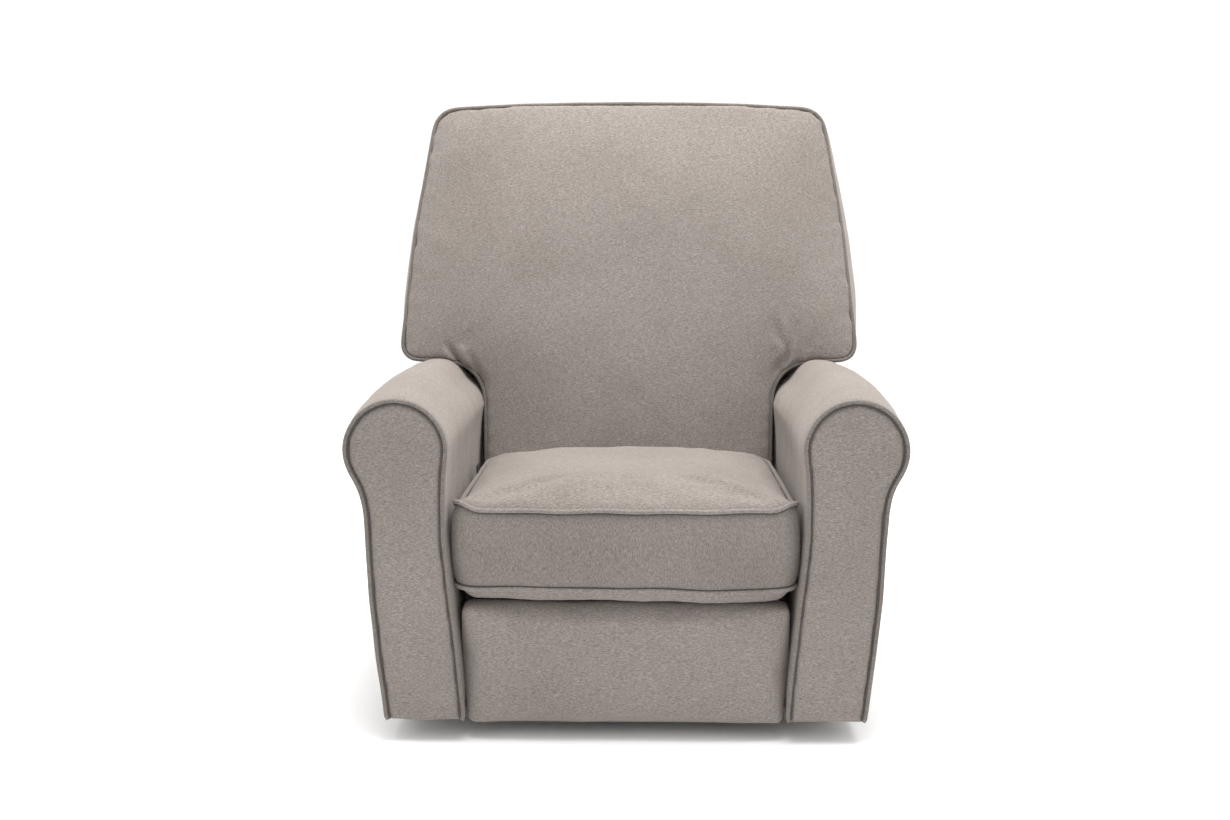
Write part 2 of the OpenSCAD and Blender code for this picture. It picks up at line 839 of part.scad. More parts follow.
module footrest_brackets() {
    rear = foot_board_y + foot_board_t;
    low = 110;
    color(steel) both_sides() difference() {
        union() {
            across(bracket_x, link_t) {
                translate(lift_end) circle(r = link_w / 2);
                translate(stay_end) circle(r = link_w / 2);
                polygon([[lift_end[0] + 7, lift_end[1] + 5], [lift_end[0], lift_end[1] + link_w / 2],
                         [rear, lift_end[1] - 6], [rear, low], [rear + 14, low],
                         [stay_end[0] - 2, stay_end[1] - link_w / 2], [stay_end[0] + 8, stay_end[1]]]);
            }
            translate([bracket_x - 24, rear, low]) cube([25, link_t, lift_end[1] - 6 - low]);
        }
        bar_x(lift_end, bracket_x - 1, link_t + 2, rivet_r);
        bar_x(stay_end, bracket_x - 1, link_t + 2, open_pin_r);
        at_foot_screws() translate([0, 0, -10]) cylinder(r = foot_screw_r + fit_gap, h = 20);
    }
}

module footrest_rivets() {
    color(zinc) both_sides() {
        bar_x(lift_end, bracket_x, lift_x + link_t - bracket_x, rivet_r);
        bar_x(lift_end, lift_x + link_t, head_t - 0.4, 7);
        bar_x(stay_end, bracket_x, stay_x + link_t - bracket_x + 0.4, open_pin_r);
    }
}

module footrest_board() {
    color(wood) difference() {
        translate([-foot_board_half, foot_board_y, foot_bottom_z + 10])
            cube([2 * foot_board_half, foot_board_t, foot_top_z - foot_bottom_z - 20]);
        both_sides() at_foot_screws() cylinder(r = foot_screw_r + fit_gap, h = 12);
    }
}

module footrest_screws() {
    color(zinc) both_sides() at_foot_screws() {
        cylinder(r = foot_screw_r, h = 11);
        translate([0, 0, -2]) cylinder(r = 2 * foot_screw_r, h = 2);
    }
}

// places the children at the screws through a bracket's flange, with Z pointing forward
module at_foot_screws() {
    for (z = foot_screw_zs) translate([bracket_x - 13, foot_board_y + foot_board_t + link_t, z])
        rotate([90, 0, 0]) children();
}

module footrest_pad() {
    r = 12;
    w = foot_half_w - r;
    h = foot_top_z - foot_bottom_z;
    color(cloth) translate([0, foot_board_y, foot_bottom_z]) rotate([90, 0, 0])
        linear_extrude(foot_pad_t) polygon(concat(arc([w, r], r, 270, 360, 6), arc([w, h - r], r, 0, 90, 6),
            arc([-w, h - r], r, 90, 180, 6), arc([-w, r], r, 180, 270, 6)));
}

ring_base();
base_cross();
floor_pads();
kingpin();
bearing_lower_race();
bearing_balls();
base_bolts();
bearing_upper_race();
swivel_frame();
swivel_uprights();
swivel_bolts();
glide_upper_pins();
front_swing_links();
rear_swing_links();
front_swing_bushes();
rear_swing_bushes();
glide_lower_pins();
glide_plates();
mechanism_plates();
cross_tubes();
side_rails();
front_rail();
rear_rail();
seat_springs();
spring_clips();
deck_cloth();
seat_cushion();
left_arm_board();
right_arm_board();
left_arm();
right_arm();
left_arm_facing();
right_arm_facing();
arm_bolts();
rear_apron();
release_guide();
release_pull();
recline_pins();
recline_brackets();
back_stiles();
back_rails();
back_wing_frames();
back_springs();
back_cushion();
outer_back();
back_bolts();
footrest_pivot_pins();
footrest_drive_links();
footrest_front_links();
footrest_lift_links();
footrest_stay_links();
footrest_drive_rivets();
footrest_cross_pins();
footrest_stay_rivets();
footrest_brackets();
footrest_rivets();
footrest_board();
footrest_pad();
footrest_screws();
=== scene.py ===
import json
import math

import bpy
import numpy as np
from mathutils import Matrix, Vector


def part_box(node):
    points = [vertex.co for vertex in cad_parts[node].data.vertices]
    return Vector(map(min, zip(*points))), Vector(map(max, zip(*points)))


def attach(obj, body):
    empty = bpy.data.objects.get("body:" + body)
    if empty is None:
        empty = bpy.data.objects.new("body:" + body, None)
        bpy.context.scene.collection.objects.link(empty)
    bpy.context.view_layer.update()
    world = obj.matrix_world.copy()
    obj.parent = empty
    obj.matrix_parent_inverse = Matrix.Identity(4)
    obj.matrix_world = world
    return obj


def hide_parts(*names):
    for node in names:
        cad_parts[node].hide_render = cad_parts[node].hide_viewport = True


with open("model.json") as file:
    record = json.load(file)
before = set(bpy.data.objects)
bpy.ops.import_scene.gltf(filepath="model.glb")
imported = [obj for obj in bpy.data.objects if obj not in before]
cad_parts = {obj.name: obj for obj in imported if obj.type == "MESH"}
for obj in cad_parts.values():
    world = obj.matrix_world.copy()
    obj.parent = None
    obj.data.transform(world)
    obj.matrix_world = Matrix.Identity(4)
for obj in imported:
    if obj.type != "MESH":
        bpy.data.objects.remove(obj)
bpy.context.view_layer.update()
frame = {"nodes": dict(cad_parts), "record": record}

# ---------------------------------------------------------------- driving sizes, in metres

# boxes of the CAD nodes that the covers are fitted to, as (low corner, high corner)
ARM_LOW, ARM_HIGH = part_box("left_arm")
FACING_LOW, FACING_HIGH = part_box("left_arm_facing")
SEAT_LOW, SEAT_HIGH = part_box("seat_cushion")
FOOT_LOW, FOOT_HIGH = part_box("footrest_pad")
APRON_LOW, APRON_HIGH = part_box("rear_apron")
DECK_LOW, DECK_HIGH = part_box("deck_cloth")
FRONT_RAIL_LOW, FRONT_RAIL_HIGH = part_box("front_rail")
SIDE_RAIL_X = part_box("side_rails")[1].x
BOARD_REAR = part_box("footrest_board")[1].y

# the leaning back: its foot, its lean and the T's half widths
LEAN = math.radians(15)
COS_L, SIN_L = math.cos(LEAN), math.sin(LEAN)
BACK_ORIGIN = Vector((0, 0.025, 0.270))
BACK_HALF = 0.2755
WING_HALF = 0.440
TOP_HALF = 0.389
BACK_DEPTH = 0.232
WING_Z = 0.5615
WING_FRONT_Y = 0.105
WING_V = (WING_Z - BACK_ORIGIN.z) / COS_L
TOP_V = (1.046 - BACK_ORIGIN.z) / COS_L

# the arm's roll
ROLL_R = 0.080
ROLL_X = ARM_HIGH.x - ROLL_R
ROLL_Z = ARM_HIGH.z - ROLL_R

# the seat cushion: its front, its seams and how low its belly hangs
SEAT_FRONT = SEAT_LOW.y
SEAT_HALF_FRONT = 0.2745
SEAT_HALF_REAR = 0.266
SEAT_REAR = 0.036
SEAT_CORNER_R = 0.034
SEAT_WIDEST = 0.2800
SEAT_TOP_SEAM = 0.3842
SEAT_LOW_SEAM = 0.2555
SEAT_FLOOR = 0.2290

# sewing: the welts, the groove beside a welt and how far out a welt sits
WELT_R = 0.0038
SEAM_R = 0.0011
DITCH_GAP = 0.0044
PATH_STEP = 0.006
COVER_VOXEL = 0.005


# ---------------------------------------------------------------- small maths

def smoothstep(low, high, value):
    t = np.clip((value - low) / (high - low), 0, 1)
    return t * t * (3 - 2 * t)


def arc(cx, cy, r, start, end, steps):
    """Points on an arc, with angles in degrees."""
    angles = np.radians(np.linspace(start, end, steps + 1))
    return [(cx + r * math.cos(a), cy + r * math.sin(a)) for a in angles]


def resample(points, step, closed=True):
    """The same line with points an even step apart."""
    p = np.array(points, float)
    if closed:
        p = np.vstack([p, p[:1]])
    seg = np.linalg.norm(np.diff(p, axis=0), axis=1)
    keep = np.concatenate([[True], seg > 1e-7])
    p = p[keep]
    seg = np.linalg.norm(np.diff(p, axis=0), axis=1)
    s = np.concatenate([[0], np.cumsum(seg)])
    count = max(8, int(round(s[-1] / step)))
    at = np.linspace(0, s[-1], count + 1)
    out = np.column_stack([np.interp(at, s, p[:, k]) for k in range(p.shape[1])])
    return out[:-1] if closed else out


def soften(points, rounds, closed=True):
    """Rounds a line's corners by averaging each point with its neighbours."""
    p = np.array(points, float)
    for _ in range(rounds):
        before, after = np.roll(p, 1, axis=0), np.roll(p, -1, axis=0)
        q = 0.25 * before + 0.5 * p + 0.25 * after
        if not closed:
            q[0], q[-1] = p[0], p[-1]
        p = q
    return p


def waves(co, length, seed, count=9):
    """Smooth noise from -1 to 1 with features about this length, as a sum of plane waves."""
    rng = np.random.default_rng(seed)
    total = np.zeros(len(co))
    for _ in range(count):
        direction = rng.normal(size=co.shape[1])
        direction /= np.linalg.norm(direction)
        k = 2 * math.pi / length * rng.uniform(0.6, 1.5)
        total += np.sin(co @ direction * k + rng.uniform(0, 2 * math.pi))
    return total / math.sqrt(count) / 1.5


class Outline:
    """A closed line in a plane, with the distance inside it and the way out of it."""

    def __init__(self, points):
        self.p = np.array(points, float)
        nxt = np.roll(self.p, -1, axis=0)
        area = np.sum(self.p[:, 0] * nxt[:, 1] - nxt[:, 0] * self.p[:, 1])
        if area < 0:
            self.p = self.p[::-1].copy()
            nxt = np.roll(self.p, -1, axis=0)
        self.d = nxt - self.p
        self.len2 = np.maximum(np.sum(self.d * self.d, axis=1), 1e-12)
        self.s0 = np.concatenate([[0], np.cumsum(np.sqrt(self.len2))[:-1]])
        n = np.column_stack([self.d[:, 1], -self.d[:, 0]])
        self.normal = n / np.linalg.norm(n, axis=1)[:, None]

    def measure(self, q):
        """For points q: distance to the line, arc length along it, and the outward normal there."""
        dist = np.zeros(len(q))
        along = np.zeros(len(q))
        normal = np.zeros((len(q), 2))
        for a in range(0, len(q), 4000):
            part = q[a:a + 4000]
            rel = part[:, None, :] - self.p[None]
            t = np.clip(np.sum(rel * self.d[None], axis=2) / self.len2[None], 0, 1)
            gap = rel - t[..., None] * self.d[None]
            g2 = np.sum(gap * gap, axis=2)
            i = np.argmin(g2, axis=1)
            rows = np.arange(len(part))
            dist[a:a + 4000] = np.sqrt(g2[rows, i])
            along[a:a + 4000] = self.s0[i] + t[rows, i] * np.sqrt(self.len2[i])
            normal[a:a + 4000] = self.normal[i]
        return dist, along, normal


class Pillow:
    """The height, from 0 at a closed line to 1 at its fullest, of a skin blown up inside that line."""

    def __init__(self, points, step=0.009, rounds=1500):
        p = np.array(points, float)
        self.low = p.min(axis=0) - 2 * step
        self.step = step
        self.size = np.ceil((p.max(axis=0) + 2 * step - self.low) / step).astype(int) + 1
        a = self.low[0] + step * np.arange(self.size[0])
        b = self.low[1] + step * np.arange(self.size[1])
        ga, gb = np.meshgrid(a, b, indexing="ij")
        inside = np.zeros(ga.shape, bool)
        for (x0, y0), (x1, y1) in zip(p, np.roll(p, -1, axis=0)):
            if y0 == y1:
                continue
            crosses = (gb >= min(y0, y1)) & (gb < max(y0, y1))
            inside ^= crosses & (ga < x0 + (gb - y0) * (x1 - x0) / (y1 - y0))
        h = np.zeros(ga.shape)
        for _ in range(rounds):
            near = np.roll(h, 1, 0) + np.roll(h, -1, 0) + np.roll(h, 1, 1) + np.roll(h, -1, 1)
            h = np.where(inside, 0.25 * near + 1.0, 0)
        self.h = h / h.max()

    def at(self, q):
        t = (q - self.low) / self.step
        i = np.clip(np.floor(t).astype(int), 0, self.size - 2)
        f = np.clip(t - i, 0, 1)
        h = self.h
        low = h[i[:, 0], i[:, 1]] * (1 - f[:, 0]) + h[i[:, 0] + 1, i[:, 1]] * f[:, 0]
        high = h[i[:, 0], i[:, 1] + 1] * (1 - f[:, 0]) + h[i[:, 0] + 1, i[:, 1] + 1] * f[:, 0]
        return low * (1 - f[:, 1]) + high * f[:, 1]


def fold(q, start, end, width, depth):
    """A fold along a line: negative depth is a crease. It fades towards its end."""
    start, end = np.array(start), np.array(end)
    d = end - start
    length = np.linalg.norm(d)
    d /= length
    t = (q - start) @ d / length
    off = (q - start) @ np.array([-d[1], d[0]])
    along = smoothstep(-0.12, 0.18, t) * (1 - smoothstep(0.35, 1.05, t))
    return depth * along * np.exp(-(off / (width * (0.6 + 0.8 * np.clip(t, 0, 1)))) ** 2)


# ---------------------------------------------------------------- meshes

def mesh_object(name, verts, faces, material=None):
    mesh = bpy.data.meshes.new(name)
    mesh.from_pydata([tuple(map(float, v)) for v in verts], [], faces)
    mesh.validate()
    mesh.update()
    obj = bpy.data.objects.new(name, mesh)
    bpy.context.scene.collection.objects.link(obj)
    if material:
        mesh.materials.append(material)
    mesh.polygons.foreach_set("use_smooth", [True] * len(mesh.polygons))
    return obj


def get_co(obj):
    co = np.zeros(len(obj.data.vertices) * 3)
    obj.data.vertices.foreach_get("co", co)
    return co.reshape(-1, 3)


def set_co(obj, co):
    obj.data.vertices.foreach_set("co", np.asarray(co, float).ravel())
    obj.data.update()


def bake_modifiers(obj):
    """Applies the modifiers by keeping the evaluated mesh."""
    graph = bpy.context.evaluated_depsgraph_get()
    mesh = bpy.data.meshes.new_from_object(obj.evaluated_get(graph))
    old = obj.data
    obj.modifiers.clear()
    obj.data = mesh
    bpy.data.meshes.remove(old)
    obj.data.polygons.foreach_set("use_smooth", [True] * len(obj.data.polygons))
    return obj


def voxel(obj, size):
    m = obj.modifiers.new("voxel", "REMESH")
    m.mode = "VOXEL"
    m.voxel_size = size
    m.use_smooth_shade = True
    bake_modifiers(obj)
    smooth(obj, 0.5, 4)


def smooth(obj, factor, rounds):
    m = obj.modifiers.new("smooth", "SMOOTH")
    m.factor = factor
    m.iterations = rounds
    bake_modifiers(obj)


def subdivide(obj, levels=1):
    m = obj.modifiers.new("subdivision", "SUBSURF")
    m.levels = levels
    m.render_levels = levels
    bake_modifiers(obj)


def prism(points, low, high, place):
    """Vertices and faces of an outline extruded from low to high; place maps (a, b, depth) to 3-D."""
    n = len(points)
    verts = [place(a, b, low) for a, b in points] + [place(a, b, high) for a, b in points]
    faces = [tuple(range(n - 1, -1, -1)), tuple(range(n, 2 * n))]
    faces += [(i, (i + 1) % n, n + (i + 1) % n, n + i) for i in range(n)]
    return verts, faces


def merge_parts(parts):
    verts, faces = [], []
    for v, f in parts:
        base = len(verts)
        verts += list(v)
        faces += [tuple(base + i for i in face) for face in f]
    return verts, faces


def swell(obj, pinned, cap, pressure, frames=20):
    tension, bending, mass = 12.0, 0.4, 0.25
    start = get_co(obj)
    group = obj.vertex_groups.new(name="seams")
    group.add([int(i) for i in np.nonzero(pinned)[0]], 1.0, "REPLACE")
    m = obj.modifiers.new("cloth", "CLOTH")
    s = m.settings
    s.quality = 5
    s.mass = mass
    s.tension_stiffness = tension
    s.compression_stiffness = tension
    s.shear_stiffness = tension * 0.5
    s.bending_stiffness = bending
    s.use_pressure = True
    s.uniform_pressure_force = pressure
    s.vertex_group_mass = "seams"
    s.effector_weights.gravity = 0
    m.collision_settings.use_collision = False
    m.collision_settings.use_self_collision = False
    m.point_cache.frame_start = 1
    m.point_cache.frame_end = frames
    scene = bpy.context.scene
    for f in range(1, frames + 1):
        scene.frame_set(f)
    bake_modifiers(obj)
    scene.frame_set(1)
    moved = get_co(obj) - start
    length = np.linalg.norm(moved, axis=1)
    scale = np.minimum(1, cap / np.maximum(length, 1e-9))
    set_co(obj, start + moved * scale[:, None])
    obj.vertex_groups.clear()


def tube(name, path, radius, material, closed=True, sides=10):
    """A round welt along a path, with frames carried along it so that it doesn't twist."""
    p = np.array(path, float)
    n = len(p)
    tang = np.roll(p, -1, axis=0) - np.roll(p, 1, axis=0)
    if not closed:
        tang[0], tang[-1] = p[1] - p[0], p[-1] - p[-2]
    tang /= np.linalg.norm(tang, axis=1)[:, None]
    up = np.cross(tang[0], (0.3, 0.5, 0.81))
    verts = []
    for i in range(n):
        up = up - tang[i] * np.dot(up, tang[i])
        up /= np.linalg.norm(up)
        side = np.cross(tang[i], up)
        for k in range(sides):
            a = 2 * math.pi * k / sides
            verts.append(p[i] + radius * (math.cos(a) * up + math.sin(a) * side))
    faces = []
    last = n if closed else n - 1
    if closed:
        # the frame may come round turned, so the last ring is joined to the start that matches it
        first = np.array(verts[:sides])
        end_up = up - tang[0] * np.dot(up, tang[0])
        end_up /= np.linalg.norm(end_up)
        shift = int(np.argmin(np.linalg.norm(first - (p[0] + radius * end_up), axis=1)))
    for i in range(last):
        j = (i + 1) % n
        for k in range(sides):
            k2 = (k + 1) % sides
            off = shift if closed and j == 0 else 0
            faces.append((i * sides + k, i * sides + k2, j * sides + (k2 + off) % sides,
                          j * sides + (k + off) % sides))
    if not closed:
        faces.append(tuple(range(sides - 1, -1, -1)))
        faces.append(tuple((n - 1) * sides + k for k in range(sides)))
    return mesh_object(name, verts, faces, material)


def piping(name, path, body, ditch, look, closed=True):
    """A welt with a thin dark tube beside it: the tube lies ditch away from the welt's middle and is painted
    shade in the sewn groove.
    """
    path = np.array(path, float)
    welt = tube(name, path, WELT_R, look, closed)
    seam = tube(name + "_seam", path + np.asarray(ditch), SEAM_R, GROOVE_SHADE, closed, sides=6)
    count = len(welt.data.polygons)
    verts = [v.co for v in welt.data.vertices] + [v.co for v in seam.data.vertices]
    base = len(welt.data.vertices)
    faces = [tuple(f.vertices) for f in welt.data.polygons]
    faces += [tuple(base + i for i in f.vertices) for f in seam.data.polygons]
    obj = mesh_object(name, verts, faces, look)
    obj.data.materials.append(GROOVE_SHADE)
    kinds = [0] * count + [1] * (len(obj.data.polygons) - count)
    obj.data.polygons.foreach_set("material_index", kinds)
    bpy.data.objects.remove(welt)
    bpy.data.objects.remove(seam)
    obj.name = name
    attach(obj, body)
    return obj


# ---------------------------------------------------------------- materials

class Nodes:
    """Builds a node material in few words."""

    def __init__(self, name):
        self.mat = bpy.data.materials.new(name)
        self.mat.use_nodes = True
        self.tree = self.mat.node_tree
        self.tree.nodes.clear()
        self.out = self.tree.nodes.new("ShaderNodeOutputMaterial")
        self.bsdf = self.tree.nodes.new("ShaderNodeBsdfPrincipled")
        self.link(self.bsdf.outputs[0], self.out.inputs[0])
        self.coord = self.tree.nodes.new("ShaderNodeTexCoord").outputs["Object"]

    def link(self, a, b):
        self.tree.links.new(a, b)

    def scaled(self, scale):
        m = self.tree.nodes.new("ShaderNodeMapping")
        m.inputs["Scale"].default_value = scale
        self.link(self.coord, m.inputs["Vector"])
        return m.outputs[0]

    def noise(self, scale, vector=None, detail=2.0, rough=0.5, distortion=0.0):
        n = self.tree.nodes.new("ShaderNodeTexNoise")
        n.inputs["Scale"].default_value = scale
        n.inputs["Detail"].default_value = detail
        n.inputs["Roughness"].default_value = rough
        n.inputs["Distortion"].default_value = distortion
        self.link(vector or self.coord, n.inputs["Vector"])
        return n.outputs["Fac"]

    def wave(self, scale, vector=None, direction="Z", distortion=1.0, detail_scale=1.0):
        n = self.tree.nodes.new("ShaderNodeTexWave")
        n.bands_direction = direction
        n.inputs["Scale"].default_value = scale
        n.inputs["Distortion"].default_value = distortion
        n.inputs["Detail Scale"].default_value = detail_scale
        self.link(vector or self.coord, n.inputs["Vector"])
        return n.outputs["Fac"]

    def ramp(self, fac, stops):
        r = self.tree.nodes.new("ShaderNodeValToRGB")
        ramp = r.color_ramp
        while len(ramp.elements) < len(stops):
            ramp.elements.new(0.5)
        for e, (pos, col) in zip(ramp.elements, stops):
            e.position = pos
            e.color = (*col, 1) if len(col) == 3 else col
        self.link(fac, r.inputs[0])
        return r.outputs[0]

    def math(self, op, a, b=None):
        n = self.tree.nodes.new("ShaderNodeMath")
        n.operation = op
        for i, v in enumerate((a, b)):
            if v is None:
                continue
            if isinstance(v, (int, float)):
                n.inputs[i].default_value = v
            else:
                self.link(v, n.inputs[i])
        return n.outputs[0]

    def mix(self, fac, a, b, mode="MIX"):
        n = self.tree.nodes.new("ShaderNodeMix")
        n.data_type = "RGBA"
        n.blend_type = mode
        for sock, v in ((n.inputs[0], fac), (n.inputs[6], a), (n.inputs[7], b)):
            if isinstance(v, (int, float)):
                sock.default_value = v
            elif isinstance(v, tuple):
                sock.default_value = (*v, 1)
            else:
                self.link(v, sock)
        return n.outputs[2]

    def bump(self, height, strength, distance, under=None):
        n = self.tree.nodes.new("ShaderNodeBump")
        n.inputs["Strength"].default_value = strength
        n.inputs["Distance"].default_value = distance
        self.link(height, n.inputs["Height"])
        if under is not None:
            self.link(under, n.inputs["Normal"])
        return n.outputs[0]

    def done(self, color=None, rough=0.6, normal=None, **sockets):
        if color is not None:
            self.link(color, self.bsdf.inputs["Base Color"])
        if isinstance(rough, (int, float)):
            self.bsdf.inputs["Roughness"].default_value = rough
        else:
            self.link(rough, self.bsdf.inputs["Roughness"])
        if normal is not None:
            self.link(normal, self.bsdf.inputs["Normal"])
        for name, value in sockets.items():
            self.bsdf.inputs[name.replace("_", " ")].default_value = value
        return self.mat


def chenille(name, grain="x", shade_tone=1.0):
    """Heathered chenille: slubs run along the grain, with a fine pick across it and a soft nap. A copy
    darkened below full tone is painted shade.
    """
    n = Nodes(name)
    along, across = 190.0, 820.0
    scale = {"x": (along, across, across), "y": (across, along, across),
             "z": (across, across, along)}[grain]
    slub_at = n.scaled(scale)
    slub = n.noise(1.0, slub_at, detail=2.0, rough=0.5)
    heather = n.noise(620.0, detail=2.0, rough=0.6)
    mixed = n.math("ADD", n.math("MULTIPLY", slub, 0.58), n.math("MULTIPLY", heather, 0.42))
    dark = tuple(c * shade_tone for c in (0.128, 0.111, 0.098))
    mid = tuple(c * shade_tone for c in (0.206, 0.182, 0.164))
    light = tuple(c * shade_tone for c in (0.300, 0.270, 0.248))
    yarn = n.ramp(mixed, [(0.34, dark), (0.50, mid), (0.66, light)])
    patches = n.noise(5.0, detail=2.0, rough=0.5)
    nap = n.ramp(patches, [(0.32, (0.93, 0.925, 0.915)), (0.5, (1.0, 1.0, 1.0)), (0.70, (1.06, 1.06, 1.065))])
    color = n.mix(1.0, yarn, nap, "MULTIPLY")
    rows = n.noise(1.0, n.scaled(tuple(1.9 * s for s in scale)), detail=1.0)
    fuzz = n.noise(1500.0, detail=1.0)
    height = n.math("ADD", n.math("MULTIPLY", rows, 0.7), n.math("MULTIPLY", fuzz, 0.3))
    normal = n.bump(height, 0.55, 0.0009)
    rough = n.math("ADD", 0.80, n.math("MULTIPLY", patches, 0.14))
    return n.done(color, rough, normal, Sheen_Weight=0.24, Sheen_Roughness=0.5,
                  Sheen_Tint=(0.95, 0.86, 0.80, 1), Specular_IOR_Level=0.16)


def powder_coat(name, color):
    n = Nodes(name)
    grain = n.noise(900.0, detail=2.0)
    wear = n.noise(38.0, detail=4.0)
    tint = n.ramp(wear, [(0.35, tuple(c * 0.8 for c in color)), (0.7, tuple(c * 1.35 for c in color))])
    rough = n.math("ADD", 0.34, n.math("MULTIPLY", wear, 0.18))
    return n.done(tint, rough, n.bump(grain, 0.25, 0.0004), Metallic=0.0, Coat_Weight=0.15)


def plated(name, color, rough=0.3):
    n = Nodes(name)
    brushed = n.noise(1.0, n.scaled((60.0, 1400.0, 1400.0)), detail=2.0)
    cloud = n.noise(55.0, detail=3.0)
    worn, bright = tuple(c * 0.82 for c in color), tuple(min(1, c * 1.15) for c in color)
    tint = n.ramp(cloud, [(0.3, worn), (0.75, bright)])
    r = n.math("ADD", rough, n.math("MULTIPLY", cloud, 0.16))
    return n.done(tint, r, n.bump(brushed, 0.2, 0.0002), Metallic=1.0)


def lumber(name):
    n = Nodes(name)
    rings = n.wave(18.0, n.scaled((1.0, 0.12, 1.0)), "Z", distortion=5.0, detail_scale=1.5)
    fibre = n.noise(1.0, n.scaled((500.0, 14.0, 500.0)), detail=3.0)
    mixed = n.math("ADD", n.math("MULTIPLY", rings, 0.45), n.math("MULTIPLY", fibre, 0.55))
    tint = n.ramp(mixed, [(0.25, (0.36, 0.23, 0.12)), (0.5, (0.52, 0.37, 0.21)), (0.8, (0.64, 0.48, 0.30))])
    return n.done(tint, 0.72, n.bump(fibre, 0.3, 0.0005), Specular_IOR_Level=0.3)


def moulded(name, color, rough=0.5):
    n = Nodes(name)
    grain = n.noise(1300.0, detail=2.0)
    cloud = n.noise(40.0, detail=2.0)
    tint = n.ramp(cloud, [(0.3, tuple(c * 0.88 for c in color)), (0.75, tuple(c * 1.12 for c in color))])
    r = n.math("ADD", rough, n.math("MULTIPLY", grain, 0.12))
    return n.done(tint, r, n.bump(grain, 0.3, 0.0003))


def dust_cover(name):
    n = Nodes(name)
    felt = n.noise(900.0, detail=3.0, rough=0.7)
    dots = n.wave(330.0, None, "X", distortion=0.4)
    tint = n.ramp(felt, [(0.3, (0.012, 0.012, 0.013)), (0.7, (0.045, 0.045, 0.048))])
    return n.done(tint, 0.92, n.bump(n.math("ADD", felt, dots), 0.4, 0.0005), Sheen_Weight=0.2)


FABRIC_X = chenille("chenille_cross", "x")
FABRIC_Y = chenille("chenille_arm", "y")
# The boxing copy is darker than the top: painted shade on the cushion's upright sides.
FABRIC_BOX_SHADED = chenille("chenille_boxing_shaded", "z", shade_tone=0.87)
WELT_SEAT = chenille("chenille_seat_welt", "x", shade_tone=1.0)
# The arm and back welts are darker copies of the same chenille: their lower tone is painted shade along the
# welts.
WELT_ARM_SHADED = chenille("chenille_arm_welt_shaded", "x", shade_tone=0.78)
WELT_BACK_SHADED = chenille("chenille_back_welt_shaded", "x", shade_tone=0.66)
# Near-black copy of the chenille for the thin tube beside each welt: painted shade in the sewn groove.
GROOVE_SHADE = chenille("chenille_groove_painted_shade", "x", shade_tone=0.30)

CAD_LOOKS = {
    "black_steel": powder_coat("black_powder_coat", (0.030, 0.030, 0.032)),
    "zinc_steel": plated("zinc_plate", (0.56, 0.57, 0.58)),
    "spring_steel": plated("spring_wire", (0.20, 0.20, 0.21), 0.38),
    "nylon": moulded("natural_nylon", (0.74, 0.73, 0.68), 0.42),
    "black_plastic": moulded("black_plastic", (0.028, 0.028, 0.030), 0.45),
    "rubber": moulded("black_rubber", (0.020, 0.020, 0.020), 0.75),
    "frame_wood": lumber("sawn_wood"),
}
SLOT_OF = {row["node"]: row["material_slot"] for row in frame["record"]["subparts"]}


def finish_cad_nodes():
    for node, obj in frame["nodes"].items():
        look = CAD_LOOKS.get(SLOT_OF.get(node))
        if look:
            obj.data.materials.clear()
            obj.data.materials.append(look)


# ---------------------------------------------------------------- the back

def on_back(x, u, v):
    """A point of the leaning back, from its side x, depth u behind the face and height v along it."""
    return (x, BACK_ORIGIN.y + u * COS_L + v * SIN_L, BACK_ORIGIN.z - u * SIN_L + v * COS_L)


def on_back_uv(a, b, depth):
    return (a, depth, b)


def back_half_outline(low_v):
    """Right half of the T, from the foot of the narrow part up to the middle of the top."""
    top_r, wing_r = 0.044, 0.026
    lean = math.degrees(math.atan2(WING_HALF - TOP_HALF, TOP_V - WING_V))
    points = [(BACK_HALF - 0.006, low_v), (BACK_HALF, WING_V - 0.10)]
    points += [(BACK_HALF + 0.002, WING_V - 0.062), (BACK_HALF + 0.016, WING_V - 0.032),
               (BACK_HALF + 0.040, WING_V - 0.011), (BACK_HALF + 0.075, WING_V - 0.001)]
    points += arc(WING_HALF - wing_r, WING_V + wing_r, wing_r, -90, lean, 6)
    mid_v = (WING_V + TOP_V) / 2
    mid_x = (WING_HALF + TOP_HALF) / 2 + 0.004
    points += [(mid_x, mid_v)]
    points += arc(TOP_HALF - top_r - 0.003, TOP_V - top_r, top_r, lean, 88, 8)
    points += [(TOP_HALF * 0.55, TOP_V + 0.007), (TOP_HALF * 0.25, TOP_V + 0.0095)]
    return points


def back_outline(low_v):
    right = back_half_outline(low_v)
    left = [(-x, v) for x, v in reversed(right)]
    ring = right + [(0, TOP_V + 0.010)] + left
    return soften(resample(ring, 0.008), 3)


def lift_wings(x, u, v):
    """Keeps the underside of the wings level above the arms, while the back leans."""
    side = smoothstep(BACK_HALF - 0.004, BACK_HALF + 0.05, np.abs(x))
    near = 1 - smoothstep(WING_V + 0.02, WING_V + 0.26, v)
    return v + np.maximum(u, 0) * math.tan(LEAN) * side * near


def pinch(q, side, corner, start, end, width, depth):
    """A fold beside one inner corner of the T. Its ends are measured outward and up from that corner."""
    ends = [(side * (corner[0] + out), corner[1] + up) for out, up in (start, end)]
    return fold(q, *ends, width, depth)


